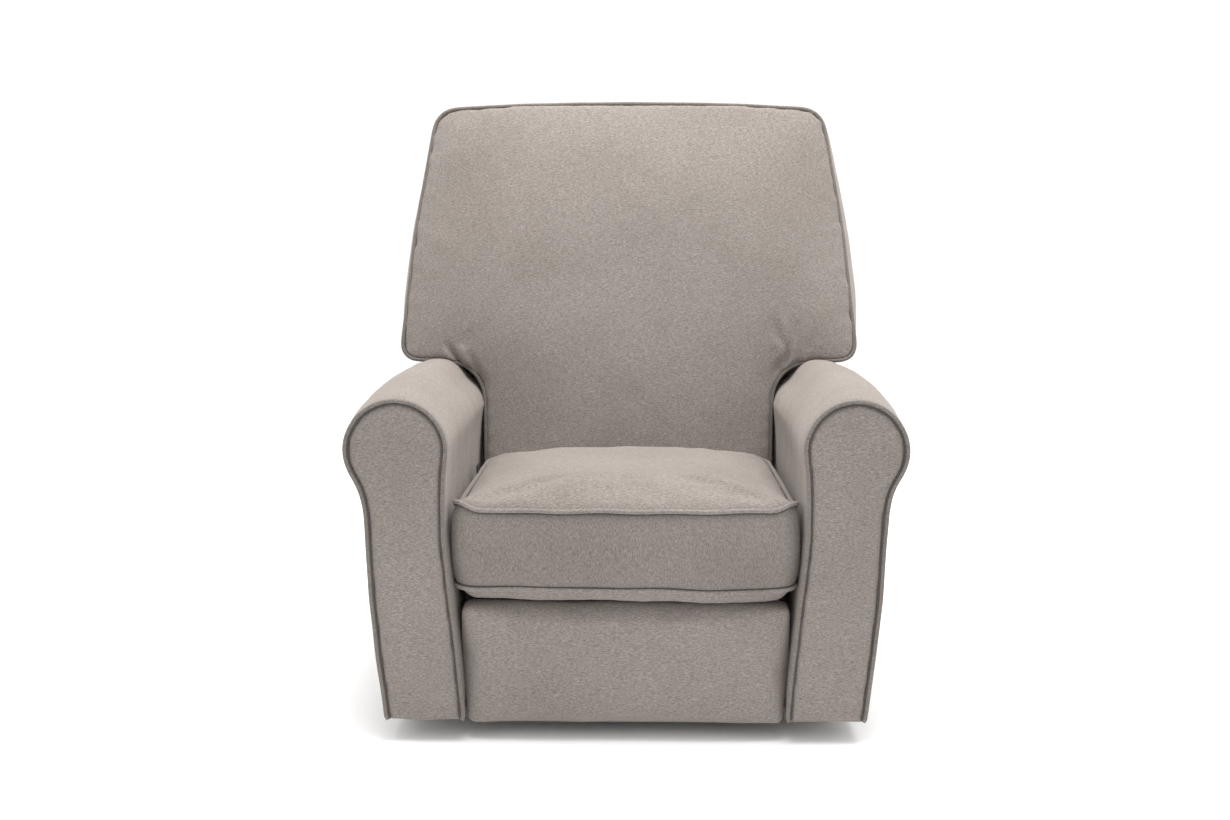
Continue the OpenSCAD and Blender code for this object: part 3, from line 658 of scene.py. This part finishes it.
def back_folds(q):
    """Creases and soft folds at the two inner corners of the T, where the cover is pulled round the arms."""
    pull = 1.5
    corner = (BACK_HALF + 0.020, WING_V + 0.004)
    total = pinch(q, -1, corner, (0.016, 0.012), (-0.030, -0.085), 0.0075, -0.0060)
    total += pinch(q, -1, corner, (0.030, 0.020), (-0.020, -0.050), 0.014, 0.0030)
    total += pinch(q, -1, corner, (0.010, 0.024), (0.015, 0.110), 0.016, -0.0018)
    total += pinch(q, 1, corner, (0.014, 0.006), (-0.035, -0.060), 0.0085, -0.0045)
    total += pinch(q, 1, corner, (0.004, 0.016), (-0.030, 0.100), 0.010, -0.0034)
    total += pinch(q, 1, corner, (0.022, 0.016), (0.026, 0.085), 0.009, -0.0026)
    total += pinch(q, 1, corner, (0.014, 0.018), (0.000, 0.095), 0.009, 0.0026)
    total += pinch(q, 1, corner, (0.045, 0.012), (0.075, 0.055), 0.010, -0.0018)
    return total * pull


def sharp_creases(q):
    """The sharp pinches that run up from where the wings' undersides meet the arms."""
    notch = (BACK_HALF + 0.050, WING_V - 0.010)
    total = pinch(q, -1, notch, (0, 0), (0.032, 0.046), 0.0046, -0.0095)
    total += pinch(q, -1, notch, (0.012, -0.004), (0.046, 0.038), 0.008, 0.0030)
    total += pinch(q, -1, notch, (-0.012, -0.012), (0.006, 0.040), 0.008, 0.0022)
    total += pinch(q, 1, notch, (-0.020, -0.004), (-0.012, 0.052), 0.0050, -0.0050)
    total += pinch(q, 1, notch, (-0.030, -0.008), (-0.030, 0.050), 0.0070, 0.0024)
    return total


def make_back():
    """The sprung back's cover: a T-shaped face, a boxed gusset all round it and a shorter rear."""
    foot_v, shell_v, split_u = -0.004, 0.108, 0.130
    face_crown, rear_crown, seam_w = 0.034, 0.012, 0.008
    pucker_h, pucker_len = 0.0011, 0.037
    full = back_outline(foot_v)
    upper = back_outline(shell_v)
    parts = [prism(full, 0.0, split_u, on_back_uv), prism(upper, split_u - 0.04, BACK_DEPTH, on_back_uv)]
    obj = mesh_object("back_cover", *merge_parts(parts), FABRIC_X)
    voxel(obj, 0.0068)
    line, pillow = Outline(full), Pillow(full)
    x, u, v = get_co(obj).T.copy()
    flat = np.column_stack([x, v])
    dist, along, normal = line.measure(flat)
    seam = (dist < seam_w) & ((u < seam_w) | (u > BACK_DEPTH - seam_w))
    face = 1 - smoothstep(0.0, BACK_DEPTH * 0.6, u)
    rear = smoothstep(BACK_DEPTH * 0.6, BACK_DEPTH, u)
    full_h = pillow.at(flat)
    inner = smoothstep(0, 0.05, dist)
    crown = face_crown * full_h ** 0.5
    crown += inner * (0.0032 * waves(flat, 0.24, 3) + 0.0009 * waves(flat, 0.08, 4))
    crown += back_folds(flat)
    pucker = np.exp(-dist / 0.013) * (1 - np.exp(-dist / 0.003))
    crown += pucker_h * pucker * np.sin(along * 2 * math.pi / pucker_len + 2.0 * waves(flat, 0.2, 9))
    u2 = u - face * crown + rear * rear_crown * full_h ** 0.5
    belly = np.sin(math.pi * np.clip(u / BACK_DEPTH, 0, 1)) ** 0.8 * np.exp(-dist / 0.012)
    right = smoothstep(0.2, 0.3, x)
    fade = (0.6 - 0.35 * right) * smoothstep(TOP_V - 0.22, TOP_V, v)
    upper_part = smoothstep(WING_V - 0.06, WING_V + 0.15, v) * (1 - fade)
    bulge = (0.006 + (0.017 + 0.005 * right) * upper_part) * belly
    v2 = lift_wings(x, u2, v + normal[:, 1] * bulge)
    set_co(obj, np.column_stack([x + normal[:, 0] * bulge, u2, v2]))
    swell(obj, seam, 0.008, pressure=2.5)
    subdivide(obj)
    x, u, v = get_co(obj).T.copy()
    u -= (1 - smoothstep(0.0, 0.06, u)) * sharp_creases(np.column_stack([x, v]))
    set_co(obj, np.array([on_back(*p) for p in np.column_stack([x, u, v])]))
    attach(obj, "back")
    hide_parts("back_cushion", "outer_back")
    out, beside = 0.0012, 0.0046
    for name, u0, ring, sign in (("back_welt_front", -0.0015, full, -1),
                                 ("back_welt_rear", BACK_DEPTH + 0.001, upper, 1)):
        ring = Outline(resample(ring, PATH_STEP))
        wob = 0.0008 * waves(ring.p, 0.11, 12)
        level = lift_wings(ring.p[:, 0], np.full(len(ring.p), u0), ring.p[:, 1])
        path = [on_back(a + n[0] * out, u0 + w, b + n[1] * out)
                for (a, _), b, w, n in zip(ring.p, level, wob, ring.normal)]
        inward = np.array([on_back(-n[0] * beside, sign * out, -n[1] * beside) for n in ring.normal])
        inward -= np.array(BACK_ORIGIN)
        piping(name, path, "back", inward, WELT_BACK_SHADED)


# ---------------------------------------------------------------- the seat cushion

def seat_outline():
    """Plan of the cushion: bowed front, rounded front corners, straight rear."""
    half, r, bow = SEAT_HALF_FRONT, SEAT_CORNER_R, 0.010
    front = SEAT_FRONT + 0.004
    right = [(SEAT_HALF_REAR, SEAT_REAR), (half - 0.003, -0.20), (half, front + 0.07)]
    right += arc(half - r, front + bow + r, r, 0, -82, 7)
    right += [(half * 0.5, front + 0.2 * bow)]
    left = [(-x, y) for x, y in reversed(right)]
    return soften(resample(right + [(0, front)] + left, 0.007), 3)


def seat_rise(x, y):
    """The top seam is pinched up at the two front corners, and pressed down along the arms."""
    side = smoothstep(0.232, 0.273, np.abs(x))
    corner = side * (1 - smoothstep(SEAT_FRONT + 0.012, SEAT_FRONT + 0.07, y))
    along_arm = side * smoothstep(SEAT_FRONT + 0.05, SEAT_FRONT + 0.13, y)
    return 0.012 * corner - 0.011 * along_arm


def seat_sag(x):
    """The cushion's lower edge hangs a little lower on the sitter's left."""
    return 0.0040 * np.exp(-((x - 0.16) / 0.09) ** 2)


def make_seat():
    """The boxed cushion: a crowned top with a rolled front, a sewn boxing and a belly that hangs in front."""
    seam_w, top_h, dome_h, roll_h, belly_h = 0.007, 0.0228, 0.010, 0.0085, 0.025
    pucker_h, pucker_len = 0.0010, 0.034
    ring = seat_outline()
    low, high = SEAT_LOW_SEAM, SEAT_TOP_SEAM
    obj = mesh_object("seat_cushion_cover", *prism(ring, low, high, lambda a, b, z: (a, b, z)), FABRIC_X)
    voxel(obj, 0.0055)
    x, y, z = get_co(obj).T.copy()
    flat = np.column_stack([x, y])
    dist, along, normal = Outline(ring).measure(flat)
    seam = (dist < seam_w) & ((z < low + 0.006) | (z > high - 0.006))
    rests = (z < low + 0.03) & (y > DECK_LOW.y - 0.02)
    t = np.clip((z - low) / (high - low), 0, 1)
    top, bottom = smoothstep(0.5, 1.0, t), 1 - smoothstep(0.0, 0.45, t)
    sides = smoothstep(0.0, 0.09, SEAT_HIGH.x - np.abs(x))
    front_roll = np.exp(-((y - SEAT_FRONT - 0.062) / 0.048) ** 2) * sides
    steep = np.clip((y - SEAT_FRONT - 0.005) / 0.052, 0, 1)
    waterfall = 1 - (1 - steep) ** 1.25
    beside = 1 - np.exp(-np.maximum(SEAT_HIGH.x - np.abs(x), 0) / 0.016)
    behind = 1 - np.exp(-np.maximum(SEAT_HIGH.y - y, 0) / 0.030)
    dome = 1 - (x / SEAT_HIGH.x) ** 2
    crown = (top_h + dome_h * dome + roll_h * front_roll) * waterfall * beside * behind
    crown *= smoothstep(-0.002, 0.010, dist)
    crown += smoothstep(0, 0.06, dist) * (0.0024 * waves(flat, 0.20, 21) + 0.0008 * waves(flat, 0.06, 22))
    belly = belly_h * (1 - np.exp(-dist / 0.009)) * smoothstep(-0.03, 0.03, SEAT_HIGH.x - np.abs(x))
    belly += 0.0014 * waves(flat, 0.12, 23)
    edge = np.exp(-dist / 0.012)
    front = 1 - smoothstep(SEAT_FRONT + 0.05, SEAT_FRONT + 0.16, y)
    bulge = (0.002 + 0.009 * front) * np.sin(math.pi * t) ** 0.7 * edge
    bulge += 0.0010 * waves(np.column_stack([x, y, z]), 0.12, 24) * edge * np.sin(math.pi * t)
    pucker = np.exp(-dist / 0.014) * (1 - np.exp(-dist / 0.003)) * (top + bottom)
    z2 = z + crown * top - belly * bottom + seat_rise(x, y) * t - seat_sag(x) * (1 - t) * front
    z2 += pucker_h * pucker * np.sin(along * 2 * math.pi / pucker_len + 2.0 * waves(flat, 0.17, 25))
    set_co(obj, np.column_stack([x + normal[:, 0] * bulge, y + normal[:, 1] * bulge, z2]))
    swell(obj, seam | rests, 0.008, pressure=2.5)
    x, y, z = get_co(obj).T.copy()
    hang = SEAT_FLOOR - 0.5 * seat_sag(x)
    lowest = hang + (DECK_HIGH.z + 0.0012 - hang) * smoothstep(DECK_LOW.y - 0.030, DECK_LOW.y - 0.010, y)
    set_co(obj, np.column_stack([np.clip(x, -SEAT_WIDEST, SEAT_WIDEST), y, np.maximum(z, lowest)]))
    subdivide(obj)
    obj.data.materials.append(FABRIC_BOX_SHADED)
    colour_boxing(obj, low, high)
    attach(obj, "seat_unit")
    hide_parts("seat_cushion")
    ring = Outline(resample(ring, PATH_STEP)).p
    normals = Outline(ring).normal
    for name, z0, seed, sign in (("seat_welt_top", high, 31, -1), ("seat_welt_bottom", low, 32, 1)):
        if z0 == high:
            rise = seat_rise(ring[:, 0], ring[:, 1])
        else:
            rise = -seat_sag(ring[:, 0]) * (ring[:, 1] < -0.2)
        wob = 0.0009 * waves(ring, 0.12, seed)
        path = np.column_stack([ring + 0.0022 * normals, z0 + rise + wob])
        ditch = np.column_stack([0.0006 * normals, np.full(len(ring), sign * DITCH_GAP)])
        piping(name, path, "seat_unit", ditch, WELT_SEAT)


def colour_boxing(obj, low, high):
    """The boxed side is cut with its grain upright, so its faces take the second fabric, a darker copy whose
    lower tone is painted shade on the upright sides.
    """
    mesh = obj.data
    centers = np.zeros(len(mesh.polygons) * 3)
    normals = np.zeros(len(mesh.polygons) * 3)
    mesh.polygons.foreach_get("center", centers)
    mesh.polygons.foreach_get("normal", normals)
    centers, normals = centers.reshape(-1, 3), normals.reshape(-1, 3)
    rise = seat_rise(centers[:, 0], centers[:, 1])
    side = (centers[:, 2] > low + 0.001) & (centers[:, 2] < high + rise - 0.001)
    side &= np.abs(normals[:, 2]) < 0.8
    mesh.polygons.foreach_set("material_index", side.astype(np.int32))


# ---------------------------------------------------------------- the arms

def arm_outline(bottom):
    """The arm seen from the front, as (x, z) on the sitter's left: a roll above a slightly splayed side."""
    outer = [(0.3865, bottom), (0.3990, 0.15), (0.4070, 0.24), (0.4105, 0.34), (0.4130, 0.385),
             (0.4185, 0.412)]
    inner = [(0.2885, 0.440), (0.2900, 0.400), (0.2905, 0.340), (0.2840, 0.270), (0.2750, 0.190),
             (0.2660, 0.090), (0.2620, bottom)]
    roll = arc(ROLL_X, ROLL_Z, ROLL_R, -36, 176, 30)
    return soften(resample(outer + roll + inner, 0.006), 2)


def make_arm(side, name, material):
    """The rolled arm's cover: a loft of its outline from behind the facing to the rear."""
    row_step, padding, roll_swell, tuck_in, tuck_at, tuck_width = 0.008, 0.0035, 0.0115, 0.017, 138, 28
    bottom = ARM_LOW.z
    ring = Outline(arm_outline(bottom)).p
    line = Outline(ring)
    count = len(ring)
    front, rear = FACING_HIGH.y + 0.001, ARM_HIGH.y
    depth = rear - front
    rows = int(depth / row_step)
    ys = front + depth * np.linspace(0, 1, rows + 1)
    verts, faces = [], []
    # each station is its y and, at the two ends that close the loft, how far its line is drawn in
    stations = [(front - 0.004, -0.008)] + [(front - 0.0015, -0.002)] + [(y, None) for y in ys]
    stations += [(rear + 0.004, -0.006), (rear + 0.006, -0.018)]
    seed = 40 if side > 0 else 50
    for y, inset in stations:
        q = ring.copy()
        if inset is None:
            edge = (1 - math.exp(-(y - front) / 0.008)) * (1 - math.exp(-(rear - y + 0.002) / 0.02))
            full = math.sin(math.pi * min(1, (y - front) / (WING_FRONT_Y - front))) ** 0.7
            roll_part = smoothstep(ROLL_Z - 0.10, ROLL_Z + 0.02, q[:, 1])
            roll_part *= smoothstep(ROLL_X - 0.065, ROLL_X + 0.005, q[:, 0])
            angle = np.degrees(np.arctan2(q[:, 1] - ROLL_Z, q[:, 0] - ROLL_X))
            tuck = np.exp(-((angle - tuck_at) / tuck_width) ** 2) * smoothstep(-0.25, WING_FRONT_Y - 0.06, y)
            padded = padding * smoothstep(bottom, bottom + 0.05, q[:, 1])
            out = edge * (padded + roll_swell * full * roll_part)
            out -= tuck_in * tuck
        else:
            out = np.full(count, inset)
        q = q + line.normal * out[:, None]
        p3 = np.column_stack([q[:, 0], np.full(count, y), q[:, 1]])
        soft = 0.0022 * waves(p3, 0.20, seed) + 0.0008 * waves(p3, 0.065, seed + 1)
        fade = smoothstep(front, front + 0.06, y) * smoothstep(bottom, bottom + 0.06, q[:, 1])
        q = q + line.normal * (soft * fade)[:, None]
        hem = (1 - smoothstep(bottom, bottom + 0.012, q[:, 1])) * 0.0015 * waves(p3, 0.09, seed + 2)
        verts += [(side * a, y, b + h) for (a, b), h in zip(q, hem)]
    total = len(stations)
    for i in range(total - 1):
        for k in range(count):
            k2 = (k + 1) % count
            quad = (i * count + k, i * count + k2, (i + 1) * count + k2, (i + 1) * count + k)
            faces.append(quad if side < 0 else quad[::-1])
    cap0, cap1 = tuple(range(count)), tuple((total - 1) * count + k for k in range(count))
    faces.append(cap0[::-1] if side < 0 else cap0)
    faces.append(cap1 if side < 0 else cap1[::-1])
    obj = mesh_object(name + "_cover", verts, faces, material)
    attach(obj, "seat_unit")
    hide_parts(name)


def make_facing(side, name, material):
    """The flat sewn panel on the arm's front, slightly padded, with a welt round all but its foot."""
    bottom, foot_outer, foot_inner = ARM_LOW.z, 0.388, 0.262
    pad_h, pad_edge = 0.0052, 0.016
    line = Outline(arm_outline(bottom))
    inset = line.p - line.normal * 0.003
    front = FACING_LOW.y
    parts = prism(inset, front + 0.001, FACING_HIGH.y, lambda a, b, d: (side * a, d, b))
    obj = mesh_object(name + "_cover", *parts, material)
    voxel(obj, COVER_VOXEL)
    co = get_co(obj)
    flat = np.column_stack([side * co[:, 0], co[:, 2]])
    dist = Outline(inset).measure(flat)[0]
    face = 1 - smoothstep(front + 0.001, FACING_HIGH.y, co[:, 1])
    pad = pad_h * (1 - np.exp(-dist / pad_edge)) + 0.0007 * waves(co, 0.09, 61) * smoothstep(0, 0.02, dist)
    co[:, 1] -= face * (pad - 0.0015)
    set_co(obj, co)
    subdivide(obj)
    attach(obj, "seat_unit")
    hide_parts(name)
    # the welt runs from the outer foot over the roll to the inner foot
    p = Outline(resample(line.p, PATH_STEP)).p
    start = int(np.argmin(np.hypot(p[:, 0] - foot_outer, p[:, 1] - bottom)))
    p = np.roll(p, -start, axis=0)
    end = int(np.argmin(np.hypot(p[:, 0] - foot_inner, p[:, 1] - bottom)))
    open_line = p[:end + 1] if p[5, 1] > bottom + 0.01 else p[end:]
    wob = 0.0006 * waves(open_line, 0.10, 63 if side > 0 else 64)
    path = np.array([(side * (a + w), front + 0.0030, b) for (a, b), w in zip(open_line, wob)])
    tang = np.gradient(path, axis=0)
    inward = np.column_stack([tang[:, 2], np.zeros(len(path)), -tang[:, 0]])
    inward /= np.linalg.norm(inward, axis=1)[:, None]
    middle = np.array([side * 0.335, 0, 0.30])
    if np.sum((path + 0.02 * inward - middle) ** 2) > np.sum((path - middle) ** 2):
        inward = -inward
    ditch = DITCH_GAP * inward + (0, -0.0022, 0)
    piping(name + "_welt", path, "seat_unit", ditch, WELT_ARM_SHADED, closed=False)


# ---------------------------------------------------------------- panels: footrest and rear apron

def rounded_box_outline(low, high, r):
    a = arc(high.x - r, low.z + r, r, -90, 0, 5) + arc(high.x - r, high.z - r, r, 0, 90, 5)
    b = arc(low.x + r, high.z - r, r, 90, 180, 5) + arc(low.x + r, low.z + r, r, 180, 270, 5)
    return resample(a + b, 0.008)


def make_panel(name, node, body, low, high, face_y, back_y, crown, edge_r, material, seed, flare=(0, 0)):
    """A padded panel wrapped in fabric, its face rounded over; flare widens its foot and its top."""
    ring = rounded_box_outline(low, high, 0.012)
    obj = mesh_object(name, *prism(ring, min(face_y, back_y), max(face_y, back_y),
                                   lambda a, b, d: (a, d, b)), material)
    voxel(obj, COVER_VOXEL)
    line = Outline(ring)
    co = get_co(obj)
    flat = np.column_stack([co[:, 0], co[:, 2]])
    dist, _, normal = line.measure(flat)
    out = 1 if face_y > back_y else -1
    inner_y = back_y + 0.3 * (face_y - back_y)
    if out > 0:
        face = smoothstep(inner_y, face_y, co[:, 1])
    else:
        face = 1 - smoothstep(face_y, inner_y, co[:, 1])
    inside = np.clip(edge_r - dist, 0, edge_r)
    round_over = edge_r - np.sqrt(edge_r ** 2 - inside ** 2)
    puff = crown * (1 - np.exp(-dist / 0.045)) + 0.0014 * waves(flat, 0.16, seed) * smoothstep(0, 0.04, dist)
    co[:, 1] += out * face * (puff - round_over)
    edge = np.exp(-dist / 0.01)
    side = 0.0012 * waves(co, 0.11, seed + 1) * edge
    co[:, 0] += normal[:, 0] * side
    co[:, 2] += normal[:, 1] * side
    rise = np.clip((co[:, 2] - low.z) / (high.z - low.z), 0, 1)
    co[:, 0] *= 1 + (flare[0] + (flare[1] - flare[0]) * rise) / high.x
    set_co(obj, co)
    near_back = np.abs(co[:, 1] - back_y) < 0.008
    swell(obj, near_back, 0.006, pressure=2.0, frames=12)
    subdivide(obj)
    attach(obj, body)
    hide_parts(node)


def thin_sheet(rows, xs, thick):
    """A closed thin sheet. Each row is (y, z, out y, out z): a point and the way out of its face there."""
    nx, ny = len(xs), len(rows)
    verts = [(x, y + t * oy, z + t * oz + 0.00035 * math.cos(2 * math.pi * x / 0.08) * oz)
             for t in (0, thick) for y, z, oy, oz in rows for x in xs]
    top = nx * ny
    faces = []
    for j in range(ny - 1):
        for i in range(nx - 1):
            a = j * nx + i
            faces.append((a, a + nx, a + nx + 1, a + 1))
            faces.append((top + a, top + a + 1, top + a + nx + 1, top + a + nx))
    border = list(range(nx)) + [j * nx + nx - 1 for j in range(1, ny)]
    border += [(ny - 1) * nx + i for i in range(nx - 2, -1, -1)] + [j * nx for j in range(ny - 2, 0, -1)]
    for a, b in zip(border, border[1:] + border[:1]):
        faces.append((a, b, top + b, top + a))
    return verts, faces


def make_deck():
    """The cloth stretched over the seat springs, with flaps down over the fronts of the rails; the near-black
    flaps are rail wraps and also painted shade for the gap under the cushion.
    """
    drop, thick, bite = 0.055, 0.0016, 0.021
    top_z, rail_y = DECK_LOW.z + 0.0009, FRONT_RAIL_LOW.y - 0.0004
    flat = [(y, top_z, 0, 1) for y in np.linspace(DECK_LOW.y + 0.003, DECK_HIGH.y, 66)]
    turn = [(rail_y + 0.0005, top_z - 0.0005, -0.7, 0.7)]
    hang = [(rail_y, top_z - drop * (1 - k / 6) - 0.001, -1, 0) for k in range(6)]
    parts = [thin_sheet(turn + flat, np.linspace(DECK_LOW.x, DECK_HIGH.x, 60), thick)]
    # The near-black flaps over the rail fronts also stand in for the shade in the gap under the cushion.
    inner, outer = SIDE_RAIL_X - bite, SIDE_RAIL_X
    rails = (FRONT_RAIL_LOW.x, FRONT_RAIL_HIGH.x, 48), (inner, outer, 5), (-outer, -inner, 5)
    for x0, x1, count in rails:
        parts.append(thin_sheet(hang + turn, np.linspace(x0, x1, count), thick))
    obj = mesh_object("deck_sheet", *merge_parts(parts), dust_cover("dust_cloth_and_painted_shade"))
    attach(obj, "seat_unit")
    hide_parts("deck_cloth")


# ---------------------------------------------------------------- camera, light and floor

def make_stage():
    cam_data = bpy.data.cameras.new("camera")
    cam = bpy.data.objects.new("camera", cam_data)
    bpy.context.scene.collection.objects.link(cam)
    sensor, focal_share = 36.0, 1430 / 1230
    cam_data.sensor_width = sensor
    cam_data.lens = sensor * focal_share
    cam.location = (0.022, -2.665, 0.881)
    pitch, yaw = math.radians(8.6), math.radians(0.99)
    cam.rotation_euler = (math.radians(90) - pitch, 0, yaw)
    bpy.context.scene.camera = cam

    floor_mat = Nodes("pale_floor")
    cloud = floor_mat.noise(1.2, detail=2.0)
    tint = floor_mat.ramp(cloud, [(0.3, (0.955, 0.955, 0.955)), (0.7, (0.975, 0.975, 0.975))])
    size = 14.0
    floor = mesh_object("floor", [(-size, -size, 0), (size, -size, 0), (size, size, 0), (-size, size, 0)],
                        [(0, 1, 2, 3)], floor_mat.done(tint, 0.9, Specular_IOR_Level=0.1))

    world = bpy.data.worlds.new("studio")
    bpy.context.scene.world = world
    world.use_nodes = True
    world.node_tree.nodes["Background"].inputs[0].default_value = (1, 1, 1, 1)
    world.node_tree.nodes["Background"].inputs[1].default_value = 1.07
    bpy.context.scene.view_settings.view_transform = "Standard"

    def area(name, place, aim, size, power):
        data = bpy.data.lights.new(name, "AREA")
        data.shape = "RECTANGLE"
        data.size, data.size_y = size
        data.energy = power
        light = bpy.data.objects.new(name, data)
        bpy.context.scene.collection.objects.link(light)
        light.location = place
        light.rotation_euler = (Vector(aim) - Vector(place)).to_track_quat("-Z", "Y").to_euler()

    area("top", (0.2, -0.2, 3.0), (0, 0.1, 0.5), (2.4, 1.8), 115)


# ---------------------------------------------------------------- build

finish_cad_nodes()
make_stage()
make_back()
make_seat()
for side, name in ((1, "left_arm"), (-1, "right_arm")):
    make_arm(side, name, FABRIC_Y)
    make_facing(side, name + "_facing", FABRIC_X)
make_panel("footrest_cover", "footrest_pad", "footrest", FOOT_LOW, FOOT_HIGH, FOOT_LOW.y + 0.006,
           BOARD_REAR - 0.001, 0.007, 0.007, FABRIC_X, 71, flare=(-0.0010, 0.0085))
make_panel("rear_apron_cover", "rear_apron", "seat_unit", APRON_LOW, APRON_HIGH, APRON_HIGH.y - 0.004,
           APRON_LOW.y, 0.006, 0.006, FABRIC_X, 81)
make_deck()
